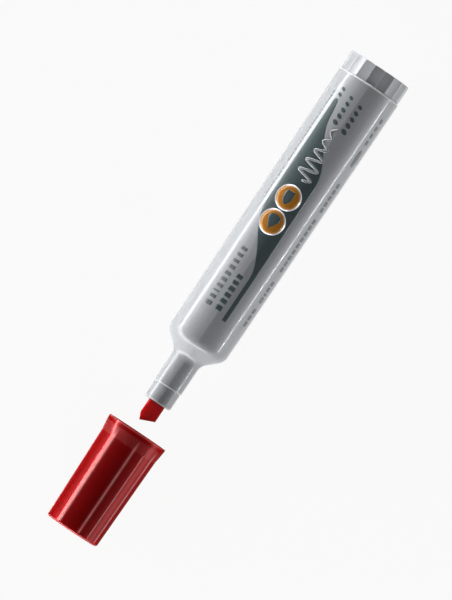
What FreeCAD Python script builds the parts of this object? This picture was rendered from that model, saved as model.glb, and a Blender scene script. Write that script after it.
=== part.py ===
"""A felt tip marker for dry-wipe boards, lying on its side, with its cap pulled off ahead of the nib.

All sizes are in millimetres. +X runs along the marker towards the nib and the cap, +Z is up, and
z = 0 is the surface that the marker lies on. The origin is on that surface, below the middle of the
whole length.

Places along the marker are given as stations. Station 0 is the front face of the nib holder and
stations grow towards the rear end, so the nib and the cap have negative ones. Each piece is its own
solid and is written to parts/ under its own name.
"""
import FreeCAD, Part
import math
import os

# ---- barrel ----------------------------------------------------------------
barrel_rear_radius = 9.0         # the largest radius of the marker
barrel_draft = 0.39              # how much slimmer it is where the shoulder begins
barrel_wall = 1.3
barrel_length = 93.5             # from the rim of the neck to the rear rim
barrel_rim_rounding = 0.6
neck_wall = 0.88                 # around the holder's tail
neck_length = 9.1                # from the neck's rim to the foot of the shoulder cone
neck_rim_rounding = 0.25
shoulder_angle = 47.0            # degrees between the shoulder cone and the axis
shoulder_bend = 3.5              # radius of the bends at both ends of the shoulder cone
rib_count = 6                    # ribs inside the barrel that centre the ink reservoir
rib_width = 0.9
rib_shelf_depth = 2.0            # how far the ribs' front shelves reach in below the reservoir
rib_shelf_length = 1.6

# ---- nib holder and nib ----------------------------------------------------
holder_step = 0.2                # how much slimmer the holder is than the neck
holder_length = 4.9              # what shows in front of the neck
holder_rim_rounding = 0.55
spigot_wall = 0.51               # of the holder's tail, at the corners of the nib's slot
spigot_length = 8.8
vent_width = 0.7                 # air grooves along the holder's tail
vent_depth = 0.25
nib_width = 4.68
nib_thickness = 3.0
nib_corner = 0.6                 # rounding of the nib's long edges
nib_reach = 6.05                 # from the holder's front face to the writing corner
nib_heel_reach = 4.4             # to the far end of the slanted writing edge
nib_bevel_reach = 4.1            # to where the side bevel starts
nib_bevel_width = 0.84           # what the bevel takes off the width at the writing corner
nib_edge_thickness = 1.5         # thickness at the writing edge
nib_taper_start = 1.6            # reach at which the nib starts to thin towards its edge
nib_stem_depth = 9.0             # how far the nib's stem is pushed into the reservoir

# ---- ink reservoir ---------------------------------------------------------
air_gap = 0.44                   # between the barrel's bore and the wrapped reservoir
wrap_thickness = 0.25

# ---- end plug --------------------------------------------------------------
plug_step = 0.25                 # how much slimmer the plug's head is than the barrel
plug_head_length = 5.0
plug_edge = 0.15                 # small chamfer at the rear face
plug_spigot_length = 8.0
plug_wall = 1.2
plug_floor = 2.0
plug_rib_width = 1.0
bead_height = 0.25               # snap bead on the plug, and its groove in the barrel
bead_width = 1.2
bead_setback = 2.2               # from the barrel's rear rim to the middle of the bead
flute_count = 18
flute_depth = 0.17
flute_radius = 20.0              # shallow, so that only thin lands are left between the flutes
flute_turn = 10.0                # degrees from the top to the nearest ridge, towards +Y

# ---- cap -------------------------------------------------------------------
cap_off_gap = 2.95               # from the nib's tip to the cap's mouth, with the cap off
cap_length = 30.6
cap_facets = 8
cap_turn = 12.7                  # degrees from the top to the nearest ridge, towards +Y
collar_step = 0.11               # how much slimmer the collar is than the barrel's front
collar_flare = 0.07              # how much the collar widens to its mouth
cap_facet_depth = 0.41           # from the collar down to the middle of a facet
cap_draft = 0.575                # how much slimmer the facets are at the closed end
cap_facet_bow = 11.5             # radius of the facets' bulge
cap_ridge_rounding = 1.2
cap_end_rounding = 0.6
ramp_length = 2.95               # ramps that lead from the facets up to the round collar
collar_length = 1.35
cap_floor = 1.3                  # thickness of the closed end
cap_wall = 1.2                   # behind the middle of a facet
collar_wall = 1.2
cap_mouth_bore_length = 2.5
seat_depth = 3.0                 # socket at the closed end that grips the liner
liner_wall = 1.1
liner_floor = 0.8
liner_rim_gap = 0.52             # from the liner's rim, cap on, to the end of the neck's straight part
liner_lead = 0.5                 # chamfer inside the liner's rim

# ---- fits ------------------------------------------------------------------
press_clearance = 0.02           # pieces that are pressed together
loose_clearance = 0.05           # nib in its slot, reservoir between its ribs
seal_clearance = 0.08            # liner running on the neck
stop_clearance = 0.20            # between the cap's mouth and the shoulder when the cap is on

# ---- stations that follow from the sizes -----------------------------------
neck_rim = holder_length
barrel_rim = neck_rim + barrel_length
rear_face = barrel_rim + plug_head_length
cap_mouth = -nib_reach - cap_off_gap
cap_end = cap_mouth - cap_length
cone_foot = neck_rim + neck_length
datum_x = (rear_face + cap_end) / 2
axis_height = barrel_rear_radius

# ---- radii that follow from the sizes ---------------------------------------
nib_diagonal = math.hypot(nib_width / 2 - nib_corner, nib_thickness / 2 - nib_corner) + nib_corner
spigot_radius = nib_diagonal + loose_clearance + spigot_wall
holder_bore_radius = spigot_radius + press_clearance
neck_radius = holder_bore_radius + neck_wall
holder_radius = neck_radius - holder_step
barrel_front_radius = barrel_rear_radius - barrel_draft
bore_rear_radius = barrel_rear_radius - barrel_wall
bore_front_radius = barrel_front_radius - barrel_wall
wrap_radius = bore_front_radius - air_gap
wrap_bore_radius = wrap_radius - wrap_thickness
reservoir_radius = wrap_bore_radius - press_clearance
plug_head_radius = barrel_rear_radius - plug_step
liner_bore_radius = neck_radius + seal_clearance
liner_radius = liner_bore_radius + liner_wall
collar_radius = barrel_front_radius - collar_step
collar_mouth_radius = collar_radius + collar_flare
cap_front_facet = collar_radius - cap_facet_depth
cap_end_facet = cap_front_facet - cap_draft
cap_bore_front_radius = cap_front_facet - cap_wall
cap_bore_end_radius = cap_end_facet - cap_wall
cap_mouth_bore_radius = collar_radius - collar_wall

# ---- the shoulder, and what lines up with it ---------------------------------

slope = math.tan(math.radians(shoulder_angle))
cone_top = cone_foot + (barrel_front_radius - neck_radius) / slope
wall_shift = barrel_wall / math.sin(math.radians(shoulder_angle))
inner_cone_foot = cone_foot + wall_shift - (neck_radius - holder_bore_radius) / slope
inner_cone_top = cone_top + wall_shift - barrel_wall / slope
reservoir_front = inner_cone_top + rib_shelf_length / 2
reservoir_rear = barrel_rim - plug_spigot_length
spigot_end = holder_length + spigot_length
cap_on_mouth = cone_foot + (cap_mouth_bore_radius - neck_radius) / slope - stop_clearance
cap_travel = cap_on_mouth - cap_mouth
neck_straight_end = cone_foot - shoulder_bend * math.tan(math.radians(shoulder_angle / 2))
liner_rim = neck_straight_end - liner_rim_gap - cap_travel

along = FreeCAD.Vector(1, 0, 0)


# ---- helpers ---------------------------------------------------------------
def place(station, radius, azimuth=0.0):
    """The point at a station and a radius; the azimuth, in degrees, goes from +Z towards +Y."""
    turn = math.radians(azimuth)
    across = radius * math.sin(turn)
    height = axis_height + radius * math.cos(turn)
    return FreeCAD.Vector(datum_x - station, across, height)


def rounded_wire(points, roundings):
    """A closed flat wire through the points, with a tangent arc of the given radius at each one."""
    stretches = []
    for index, (point, rounding) in enumerate(zip(points, roundings)):
        back = (points[index - 1] - point).normalize()
        ahead = (points[(index + 1) % len(points)] - point).normalize()
        half = back.getAngle(ahead) / 2
        reach = rounding / math.tan(half)
        inward = (back + ahead).normalize() * (rounding / math.sin(half) - rounding)
        stretches.append((point + back * reach, point + inward, point + ahead * reach))
    edges = []
    for index, (start, middle, end) in enumerate(stretches):
        if roundings[index] > 0:
            edges.append(Part.Arc(start, middle, end).toShape())
        following = stretches[(index + 1) % len(stretches)][0]
        if end.distanceToPoint(following) > 1e-6:
            edges.append(Part.LineSegment(end, following).toShape())
    return Part.Wire(edges)


def turned(outline):
    """A solid of revolution about the marker's axis; the outline lists (station, radius, rounding)."""
    points = [place(station, radius) for station, radius, _ in outline]
    wire = rounded_wire(points, [rounding for _, _, rounding in outline])
    return Part.Face(wire).revolve(place(0, 0), along, 360)


def around(solid, count, first=0.0, sweep=360.0):
    """Copies of a solid at equal steps about the marker's axis, over a whole turn or part of one."""
    copies = []
    for index in range(count):
        copy = solid.copy()
        # a turn from +Z towards +Y goes backwards about +X
        copy.rotate(place(0, 0), along, -(first + sweep / count * index))
        copies.append(copy)
    return copies


def bar(front, rear, inner, outer, width):
    """A straight rectangular bar above the axis, between two stations and two radii."""
    low = place(rear, inner)
    corner = FreeCAD.Vector(low.x, -width / 2, low.z)
    return Part.makeBox(rear - front, width, outer - inner, corner)


def draft_radius(station, front_radius, rear_radius):
    """Radius at a station of a straight draft that runs from the shoulder to the rear rim."""
    share = (station - cone_top) / (barrel_rim - cone_top)
    return front_radius + share * (rear_radius - front_radius)


def one_solid(shape):
    """The shape's only solid, with faces that lie on one surface joined."""
    solids = shape.removeSplitter().Solids
    if len(solids) != 1:
        raise ValueError(f"expected one solid, found {len(solids)}")
    return solids[0]


# ---- barrel ----------------------------------------------------------------
def bead_ring(height_over):
    """The snap bead's ring; its radius follows the bore, and its height can be made larger."""
    middle = barrel_rim - bead_setback
    base = draft_radius(middle, bore_front_radius, bore_rear_radius) - 2 * bead_height
    crest = base + 2 * bead_height + height_over
    half = bead_width / 2
    return turned([
        (middle - half - bead_height, base, 0),
        (middle - half / 2, crest, 0),
        (middle + half / 2, crest, 0),
        (middle + half + bead_height, base, 0),
    ])


def make_barrel():
    outside = turned([
        (neck_rim, 0, 0),
        (neck_rim, neck_radius, neck_rim_rounding),
        (cone_foot, neck_radius, shoulder_bend),
        (cone_top, barrel_front_radius, shoulder_bend),
        (barrel_rim, barrel_rear_radius, barrel_rim_rounding),
        (barrel_rim, 0, 0),
    ])
    inside = turned([
        (neck_rim, 0, 0),
        (neck_rim, holder_bore_radius, 0),
        (inner_cone_foot, holder_bore_radius, 1.0),
        (inner_cone_top, bore_front_radius, 1.0),
        (barrel_rim, bore_rear_radius, 0),
        (barrel_rim, 0, 0),
    ])
    rib_rear = reservoir_rear - rib_shelf_length
    rib_radius = wrap_radius + loose_clearance
    rib = bar(inner_cone_top, rib_rear, rib_radius, bore_rear_radius + barrel_wall / 2, rib_width)
    shelf = bar(
        reservoir_front - rib_shelf_length, reservoir_front,
        wrap_radius - rib_shelf_depth, bore_front_radius + barrel_wall / 2, rib_width,
    )
    ribs = around(rib.fuse(shelf), rib_count)
    ribs = [piece.common(outside) for piece in ribs]
    shell = outside.cut(inside).fuse(ribs)
    return one_solid(shell.cut(bead_ring(bead_height + press_clearance)))


# ---- nib holder and nib ----------------------------------------------------
def nib_rod(front, rear, clearance=0.0):
    """A straight length of the nib's section, larger all round by a clearance."""
    half_width = nib_width / 2 + clearance
    half_thickness = nib_thickness / 2 + clearance
    start = datum_x - rear
    corners = [
        FreeCAD.Vector(start, y * half_width, axis_height + z * half_thickness)
        for y, z in ((-1, -1), (1, -1), (1, 1), (-1, 1))
    ]
    section = Part.Face(rounded_wire(corners, [nib_corner] * len(corners)))
    return section.extrude(along * (rear - front))


def make_nib_holder():
    body = turned([
        (0, 0, 0),
        (0, holder_radius, holder_rim_rounding),
        (holder_length, holder_radius, 0),
        (holder_length, spigot_radius, 0),
        (spigot_end, spigot_radius, 0.3),
        (spigot_end, 0, 0),
    ])
    slot = nib_rod(-1, spigot_end + 1, loose_clearance)
    vent = bar(holder_length + 1, spigot_end + 1, spigot_radius - vent_depth, spigot_radius + 1, vent_width)
    return one_solid(body.cut(slot).cut(around(vent, 2, 0)))


def make_nib():
    rod = nib_rod(-nib_reach, reservoir_front + nib_stem_depth)
    half = nib_width / 2
    outline = [
        (-nib_reach, nib_bevel_width - half),
        (-nib_bevel_reach, -half),
        (reservoir_front + nib_stem_depth, -half),
        (reservoir_front + nib_stem_depth, half),
        (-nib_heel_reach, half),
    ]
    low = axis_height - nib_thickness
    points = [FreeCAD.Vector(datum_x - station, across, low) for station, across in outline]
    plan = Part.Face(rounded_wire(points, [0.12, 0.6, 0, 0, 0.2]))
    shaped = rod.common(plan.extrude(FreeCAD.Vector(0, 0, 2 * nib_thickness)))
    for side in (-1, 1):
        # a wedge above and below thins the nib towards its writing edge
        thick = axis_height + side * nib_thickness / 2
        thin = axis_height + side * nib_edge_thickness / 2
        beyond = axis_height + side * nib_thickness
        profile = Part.makePolygon([
            FreeCAD.Vector(datum_x + nib_taper_start, -nib_width, thick),
            FreeCAD.Vector(datum_x + nib_reach, -nib_width, thin),
            FreeCAD.Vector(datum_x + nib_reach + 1, -nib_width, thin),
            FreeCAD.Vector(datum_x + nib_reach + 1, -nib_width, beyond),
            FreeCAD.Vector(datum_x + nib_taper_start, -nib_width, beyond),
            FreeCAD.Vector(datum_x + nib_taper_start, -nib_width, thick),
        ])
        wedge = Part.Face(profile).extrude(FreeCAD.Vector(0, 2 * nib_width, 0))
        shaped = shaped.cut(wedge)
    return one_solid(shaped)


# ---- ink reservoir ---------------------------------------------------------
def make_reservoir():
    core = turned([
        (reservoir_front, 0, 0),
        (reservoir_front, reservoir_radius, 0.3),
        (reservoir_rear, reservoir_radius, 0.3),
        (reservoir_rear, 0, 0),
    ])
    pocket = nib_rod(reservoir_front - 1, reservoir_front + nib_stem_depth, loose_clearance)
    return one_solid(core.cut(pocket))


def make_reservoir_wrap():
    return one_solid(turned([
        (reservoir_front, wrap_bore_radius, 0),
        (reservoir_front, wrap_radius, 0),
        (reservoir_rear, wrap_radius, 0),
        (reservoir_rear, wrap_bore_radius, 0),
    ]))


# ---- end plug --------------------------------------------------------------
def make_end_plug():
    head = turned([
        (barrel_rim, 0, 0),
        (barrel_rim, plug_head_radius, 0),
        (rear_face - plug_edge, plug_head_radius, 0),
        (rear_face, plug_head_radius - plug_edge, 0),
        (rear_face, 0, 0),
    ])
    centre = place(rear_face + 1, plug_head_radius + flute_radius - flute_depth)
    flute = Part.makeCylinder(flute_radius, plug_head_length + 2, centre, along)
    half_step = 180.0 / flute_count
    head = head.cut(around(flute, flute_count, flute_turn + half_step))
    front_fit = draft_radius(reservoir_rear, bore_front_radius, bore_rear_radius) - press_clearance
    rear_fit = bore_rear_radius - press_clearance
    spigot = turned([
        (reservoir_rear, 0, 0),
        (reservoir_rear, front_fit, 0.4),
        (barrel_rim, rear_fit, 0),
        (barrel_rim, 0, 0),
    ])
    hollow = turned([
        (reservoir_rear, 0, 0),
        (reservoir_rear, front_fit - plug_wall, 0),
        (rear_face - plug_floor, front_fit - plug_wall, 0.6),
        (rear_face - plug_floor, 0, 0),
    ])
    rib = bar(reservoir_rear, rear_face - plug_floor / 2, -front_fit + plug_wall / 2,
              front_fit - plug_wall / 2, plug_rib_width)
    body = head.fuse([spigot, bead_ring(bead_height)]).cut(hollow)
    return one_solid(body.fuse(around(rib, 2, sweep=180.0)))


# ---- cap -------------------------------------------------------------------
def faceted_section(station, facet):
    """A section with bowed facets and rounded ridges, at a given distance from axis to facet."""
    step = 360.0 / cap_facets
    bow_centre = facet - cap_facet_bow
    # the ridge circle touches both facet arcs from inside, which fixes its distance from the axis
    lean = bow_centre * math.cos(math.radians(step / 2))
    gap = cap_facet_bow - cap_ridge_rounding
    ridge_centre = lean + math.sqrt(lean ** 2 - bow_centre ** 2 + gap ** 2)
    half_y = ridge_centre * math.sin(math.radians(step / 2))
    half_x = ridge_centre * math.cos(math.radians(step / 2)) - bow_centre
    bow_half = math.atan2(half_y, half_x)
    touch_x = bow_centre + cap_facet_bow * math.cos(bow_half)
    touch_y = cap_facet_bow * math.sin(bow_half)
    touch_radius = math.hypot(touch_x, touch_y)
    touch_turn = math.degrees(math.atan2(touch_y, touch_x))
    edges = []
    for index in range(cap_facets):
        ridge = cap_turn + step * index
        middle = ridge + step / 2
        before = place(station, touch_radius, middle - touch_turn)
        after = place(station, touch_radius, middle + touch_turn)
        crest = place(station, ridge_centre + cap_ridge_rounding, ridge + step)
        beyond = place(station, touch_radius, ridge + step + step / 2 - touch_turn)
        edges.append(Part.Arc(before, place(station, facet, middle), after).toShape())
        edges.append(Part.Arc(after, crest, beyond).toShape())
    return Part.Wire(edges), touch_turn


def round_section(station, radius, touch_turn):
    """A circle, split where the faceted section's arcs meet."""
    step = 360.0 / cap_facets
    edges = []
    for index in range(cap_facets):
        ridge = cap_turn + step * index
        middle = ridge + step / 2
        before = place(station, radius, middle - touch_turn)
        after = place(station, radius, middle + touch_turn)
        beyond = place(station, radius, ridge + step + step / 2 - touch_turn)
        edges.append(Part.Arc(before, place(station, radius, middle), after).toShape())
        edges.append(Part.Arc(after, place(station, radius, ridge + step), beyond).toShape())
    return Part.Wire(edges)


def make_cap_shell():
    ramp_start = cap_mouth - collar_length - ramp_length
    collar_start = cap_mouth - collar_length
    end_section, _ = faceted_section(cap_end, cap_end_facet)
    front_section, touch_turn = faceted_section(ramp_start, cap_front_facet)
    collar_section = round_section(collar_start, collar_radius, touch_turn)
    facets = Part.makeLoft([end_section, front_section], True, True)
    ramps = Part.makeLoft([front_section, collar_section], True, True)
    collar = turned([
        (cap_mouth, 0, 0),
        (cap_mouth, collar_mouth_radius, 0.15),
        (collar_start, collar_radius, 0),
        (collar_start, 0, 0),
    ])
    end_edges = [edge for edge in facets.Edges if abs(edge.BoundBox.XMin - (datum_x - cap_end)) < 1e-4]
    facets = facets.makeFillet(cap_end_rounding, end_edges)
    bore = turned([
        (cap_mouth, 0, 0),
        (cap_mouth, cap_mouth_bore_radius, 0),
        (cap_mouth - cap_mouth_bore_length, cap_mouth_bore_radius, 0.5),
        (ramp_start, cap_bore_front_radius, 0.5),
        (cap_end + cap_floor + seat_depth, cap_bore_end_radius, 0),
        (cap_end + cap_floor + seat_depth, liner_radius + press_clearance, 0),
        (cap_end + cap_floor, liner_radius + press_clearance, 0),
        (cap_end + cap_floor, 0, 0),
    ])
    return one_solid(facets.fuse([ramps, collar]).cut(bore))


def make_cap_liner():
    floor = cap_end + cap_floor
    return one_solid(turned([
        (floor, 0, 0),
        (floor, liner_radius, 0.3),
        (liner_rim, liner_radius, 0.3),
        (liner_rim, liner_bore_radius + liner_lead, 0),
        (liner_rim - liner_lead, liner_bore_radius, 0),
        (floor + liner_floor, liner_bore_radius, 0.5),
        (floor + liner_floor, 0, 0),
    ]))


# ---- build and write -------------------------------------------------------
pieces = {
    "barrel": make_barrel,
    "nib_holder": make_nib_holder,
    "chisel_nib": make_nib,
    "ink_reservoir": make_reservoir,
    "reservoir_wrap": make_reservoir_wrap,
    "end_plug": make_end_plug,
    "cap_shell": make_cap_shell,
    "cap_liner": make_cap_liner,
}

os.makedirs("parts", exist_ok=True)
for name, make in pieces.items():
    solid = make()
    if not solid.isValid():
        raise ValueError(f"{name} is not a valid solid")
    solid.exportStep(f"parts/{name}.step")
    box = solid.BoundBox
    print(f"{name}: volume {solid.Volume:.1f} mm3, x {box.XMin:.2f} to {box.XMax:.2f}, "
          f"y {box.YMin:.2f} to {box.YMax:.2f}, z {box.ZMin:.2f} to {box.ZMax:.2f}")
print(f"whole length {rear_face - cap_end:.2f}, cap travel {cap_travel:.3f}, datum x {datum_x:.3f}")
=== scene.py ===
# %% [markdown]
# # A felt tip marker, dressed around its CAD frame
#
# The marker lies on a pale table with its cap pulled off ahead of the nib. Its working parts come
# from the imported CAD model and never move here. This notebook adds what the eye needs: the
# finishes of the plastics and the felt, the inks printed round the barrel, the table and the light.
#
# Everything is in metres. +X runs along the marker towards the nib and the cap, and +Z is up.

# %% Load the frame
import math

import bpy
import numpy as np
from mathutils import Matrix, Vector


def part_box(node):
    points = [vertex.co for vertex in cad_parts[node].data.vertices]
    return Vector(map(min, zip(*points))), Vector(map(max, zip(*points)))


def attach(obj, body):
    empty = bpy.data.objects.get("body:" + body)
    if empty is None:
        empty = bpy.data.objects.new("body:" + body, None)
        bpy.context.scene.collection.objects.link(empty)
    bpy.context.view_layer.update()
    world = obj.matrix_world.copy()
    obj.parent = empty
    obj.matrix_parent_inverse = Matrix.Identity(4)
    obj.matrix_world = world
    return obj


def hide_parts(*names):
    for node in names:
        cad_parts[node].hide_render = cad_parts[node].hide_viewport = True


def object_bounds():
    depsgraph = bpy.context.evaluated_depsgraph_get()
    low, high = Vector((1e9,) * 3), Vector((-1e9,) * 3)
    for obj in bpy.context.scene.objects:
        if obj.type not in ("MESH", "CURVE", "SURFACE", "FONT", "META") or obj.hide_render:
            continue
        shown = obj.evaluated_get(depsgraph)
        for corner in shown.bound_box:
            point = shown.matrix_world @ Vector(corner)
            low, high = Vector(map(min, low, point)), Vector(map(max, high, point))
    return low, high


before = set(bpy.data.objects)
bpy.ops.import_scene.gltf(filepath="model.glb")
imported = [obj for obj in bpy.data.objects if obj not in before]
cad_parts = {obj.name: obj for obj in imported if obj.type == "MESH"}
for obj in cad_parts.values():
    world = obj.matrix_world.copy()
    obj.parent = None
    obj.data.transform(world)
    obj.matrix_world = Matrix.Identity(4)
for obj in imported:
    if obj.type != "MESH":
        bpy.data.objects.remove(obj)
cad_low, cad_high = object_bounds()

print("CAD box in mm:", [round(side * 1000, 1) for side in cad_high - cad_low])

# %% [markdown]
# ## Where things are
#
# Every place comes from the CAD boxes. The marker's axis is half way up the barrel. Along it we
# count stations in millimetres, from the front face of the nib holder towards the rear end, because
# a person who lays out a label thinks in millimetres from one end.

# %% Measure the frame
MM = 0.001
barrel_low, barrel_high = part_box("barrel")
holder_low, holder_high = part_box("nib_holder")
cap_low, cap_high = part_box("cap_shell")
axis_height = (barrel_low.z + barrel_high.z) / 2
holder_face = holder_high.x
barrel_radius = (barrel_high.y - barrel_low.y) / 2
middle = (cad_low + cad_high) / 2


def station_x(station):
    """X in metres of a station in millimetres, counted from the nib holder's face to the rear."""
    return holder_face - station * MM


print("axis height", round(axis_height, 4), "holder face", round(holder_face, 4))

# %% [markdown]
# The barrel is moulded with a slight draft, so its radius changes along its length. The CAD mesh
# already knows that: its outer vertices give pairs of x and radius, and `np.interp` reads between
# them. A print wrapped with this radius hugs the barrel everywhere.

# %% Read the barrel's outer radius
def outer_profile(node):
    """Sorted x and radius of a turned node's outermost vertices, one pair for each ring."""
    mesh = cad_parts[node].data
    points = np.empty(len(mesh.vertices) * 3)
    mesh.vertices.foreach_get("co", points)
    points = points.reshape(-1, 3)
    radii = np.hypot(points[:, 1], points[:, 2] - axis_height)
    outside = radii > barrel_radius * 0.93
    rings, which = np.unique(np.round(points[outside, 0], 5), return_inverse=True)
    widest = np.zeros(len(rings))
    np.maximum.at(widest, which.ravel(), radii[outside])
    return rings, widest


profile_x, profile_radius = outer_profile("barrel")
print("barrel radius in mm:", np.round(np.interp([-0.06, 0.0], profile_x, profile_radius) * 1000, 3))

# %% [markdown]
# ## The camera
#
# The picture is taken from straight above with a very long lens, so that both ends look the same
# size. The camera is rolled so that the nib points down and to the left. The 36 mm sensor lies along
# the picture's long side, so the distance follows from how much of the table that side shows.

# %% Make the camera
VIEW_LENGTH = 154.5 * MM
AXIS_TILT = math.radians(56.23)
LENS = 500.0
SENSOR = 36.0

camera_data = bpy.data.cameras.new("camera")
camera_data.lens = LENS
camera_data.sensor_width = SENSOR
camera = bpy.data.objects.new("camera", camera_data)
bpy.context.scene.collection.objects.link(camera)
nib_on_picture = Vector((-math.cos(AXIS_TILT), -math.sin(AXIS_TILT)))
picture_right = Vector((nib_on_picture.x, -nib_on_picture.y, 0))
picture_up = Vector((nib_on_picture.y, nib_on_picture.x, 0))
towards_camera = picture_right.cross(picture_up)
distance = VIEW_LENGTH / SENSOR * LENS
aim = Vector((middle.x, middle.y, axis_height))
turn = Matrix((picture_right, picture_up, towards_camera)).transposed()
camera.matrix_world = Matrix.Translation(aim + towards_camera * distance) @ turn.to_4x4()
camera_data.clip_end = distance * 2
bpy.context.scene.camera = camera
bpy.context.scene.view_settings.view_transform = "Standard"
print("camera looks along", tuple(round(-c, 3) for c in towards_camera), "from", round(distance, 3), "m")

# %% [markdown]
# ## Node helpers
#
# Materials are graphs of nodes. These helpers keep the graphs short to write: one adds a node and
# sets its plain values, one starts a material with its Principled shader, and one starts a node
# group with named inputs and outputs.

# %% Write the node helpers
def add(tree, kind, **settings):
    """Add a node; settings named after sockets set their values, the rest set the node itself."""
    node = tree.nodes.new(kind)
    for name, value in settings.items():
        if hasattr(node, name):
            setattr(node, name, value)
        else:
            node.inputs[name.replace("_", " ")].default_value = value
    return node


def new_material(name, **values):
    """A material with one Principled shader, whose sockets take the given plain values."""
    material = bpy.data.materials.new(name)
    material.use_nodes = True
    tree = material.node_tree
    shader = tree.nodes["Principled BSDF"]
    for socket, value in values.items():
        shader.inputs[socket.replace("_", " ")].default_value = value
    return material, tree, shader


def new_group(name, inputs, outputs):
    """A shader node group; inputs and outputs are (name, kind, default) and (name, kind) rows."""
    group = bpy.data.node_groups.new(name, "ShaderNodeTree")
    for label, kind, default in inputs:
        socket = group.interface.new_socket(label, in_out="INPUT", socket_type=kind)
        socket.default_value = default
    for label, kind in outputs:
        group.interface.new_socket(label, in_out="OUTPUT", socket_type=kind)
    return group, group.nodes.new("NodeGroupInput"), group.nodes.new("NodeGroupOutput")


def place_group(tree, group, **values):
    """Put a group into a material with its own values."""
    node = tree.nodes.new("ShaderNodeGroup")
    node.node_tree = group
    for name, value in values.items():
        node.inputs[name.replace("_", " ")].default_value = value
    return node


def object_place(tree, stretch=(1.0, 1.0, 1.0)):
    """Object coordinates in metres, stretched so that a pattern can run along the marker."""
    coordinates = tree.nodes.new("ShaderNodeTexCoord")
    mapping = tree.nodes.new("ShaderNodeMapping")
    mapping.inputs["Scale"].default_value = stretch
    tree.links.new(coordinates.outputs["Object"], mapping.inputs["Vector"])
    return mapping.outputs["Vector"]


# %% [markdown]
# ## Shared surface effects
#
# Moulded plastic is never perfectly smooth. Two effects turn up in several finishes, so each one is
# a node group. **Handling** is what hands and pockets do: a faint unevenness of the gloss, and fine
# scuffs that run mostly along the marker. **Skin** is the shallow ripple that the mould leaves.

# %% Make the handling group
FLOAT = "NodeSocketFloat"
VECTOR = "NodeSocketVector"
STREAK_FLOOR = 0.66
STREAK_CREST = 0.80


def make_handling():
    """Roughness = base + smudge x slow noise + scuff x thin streaks of a long, narrow noise."""
    group, given, result = new_group(
        "handling",
        [("Base", FLOAT, 0.3), ("Smudge", FLOAT, 0.06), ("Scuff", FLOAT, 0.2)],
        [("Roughness", FLOAT), ("Streaks", FLOAT)],
    )
    slow = add(group, "ShaderNodeTexNoise", Scale=140.0, Detail=3.0)
    group.links.new(object_place(group), slow.inputs["Vector"])
    fine = add(group, "ShaderNodeTexNoise", Scale=900.0, Detail=4.0, Roughness=0.6)
    group.links.new(object_place(group, (0.06, 1.0, 1.0)), fine.inputs["Vector"])
    streaks = add(group, "ShaderNodeMapRange")
    streaks.inputs["From Min"].default_value = STREAK_FLOOR
    streaks.inputs["From Max"].default_value = STREAK_CREST
    group.links.new(fine.outputs["Fac"], streaks.inputs["Value"])
    centred = add(group, "ShaderNodeMath", operation="SUBTRACT")
    centred.inputs[1].default_value = 0.5
    group.links.new(slow.outputs["Fac"], centred.inputs[0])
    smudged = add(group, "ShaderNodeMath", operation="MULTIPLY_ADD")
    group.links.new(centred.outputs[0], smudged.inputs[0])
    group.links.new(given.outputs["Smudge"], smudged.inputs[1])
    group.links.new(given.outputs["Base"], smudged.inputs[2])
    scuffed = add(group, "ShaderNodeMath", operation="MULTIPLY_ADD")
    group.links.new(streaks.outputs["Result"], scuffed.inputs[0])
    group.links.new(given.outputs["Scuff"], scuffed.inputs[1])
    group.links.new(smudged.outputs[0], scuffed.inputs[2])
    group.links.new(scuffed.outputs[0], result.inputs["Roughness"])
    group.links.new(streaks.outputs["Result"], result.inputs["Streaks"])
    return group


handling = make_handling()
print("group", handling.name, "has", len(handling.nodes), "nodes")

# %% [markdown]
# A mould is never quite flat, and its surface prints on the plastic. The skin group is a bump made
# from one noise, stretched a little along the marker, because the plastic flows that way.

# %% Make the skin group
def make_skin():
    """Normal of a shallow noise whose ripples are twice as long along X as across it."""
    group, given, result = new_group(
        "skin",
        [("Grain", FLOAT, 700.0), ("Strength", FLOAT, 0.1), ("Depth", FLOAT, 0.00002)],
        [("Normal", VECTOR)],
    )
    noise = add(group, "ShaderNodeTexNoise", Detail=2.0)
    group.links.new(object_place(group, (0.5, 1.0, 1.0)), noise.inputs["Vector"])
    group.links.new(given.outputs["Grain"], noise.inputs["Scale"])
    bump = add(group, "ShaderNodeBump")
    group.links.new(noise.outputs["Fac"], bump.inputs["Height"])
    group.links.new(given.outputs["Strength"], bump.inputs["Strength"])
    group.links.new(given.outputs["Depth"], bump.inputs["Distance"])
    group.links.new(bump.outputs["Normal"], result.inputs["Normal"])
    return group


skin = make_skin()
print("group", skin.name, "has", len(skin.nodes), "nodes")

# %% [markdown]
# A third effect paints highlights on the edges: thin paler lines on the crests of ridges, rims and
# lands, which stand in for the light that these edges catch. The group takes a line, which is 1 on the
# crest of a ridge and 0 away from it, and breaks it up with a noise so that it isn't the same all along.

# %% Make the painted edge highlight group
def make_painted_edge_highlight():
    """Painted highlight mask = line x (1 - breaks x noise)."""
    group, given, result = new_group(
        "painted_edge_highlight",
        [("Line", FLOAT, 0.0), ("Breaks", FLOAT, 0.4), ("Scale", FLOAT, 300.0)],
        [("Mask", FLOAT)],
    )
    noise = add(group, "ShaderNodeTexNoise", Detail=2.0)
    group.links.new(object_place(group), noise.inputs["Vector"])
    group.links.new(given.outputs["Scale"], noise.inputs["Scale"])
    broken = add(group, "ShaderNodeMath", operation="MULTIPLY")
    group.links.new(noise.outputs["Fac"], broken.inputs[0])
    group.links.new(given.outputs["Breaks"], broken.inputs[1])
    kept = add(group, "ShaderNodeMath", operation="SUBTRACT", use_clamp=True)
    kept.inputs[0].default_value = 1.0
    group.links.new(broken.outputs[0], kept.inputs[1])
    mask = add(group, "ShaderNodeMath", operation="MULTIPLY")
    group.links.new(kept.outputs[0], mask.inputs[0])
    group.links.new(given.outputs["Line"], mask.inputs[1])
    group.links.new(mask.outputs[0], result.inputs["Mask"])
    return group


painted_edge_highlight = make_painted_edge_highlight()
print("group", painted_edge_highlight.name, "has", len(painted_edge_highlight.nodes), "nodes")
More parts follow.
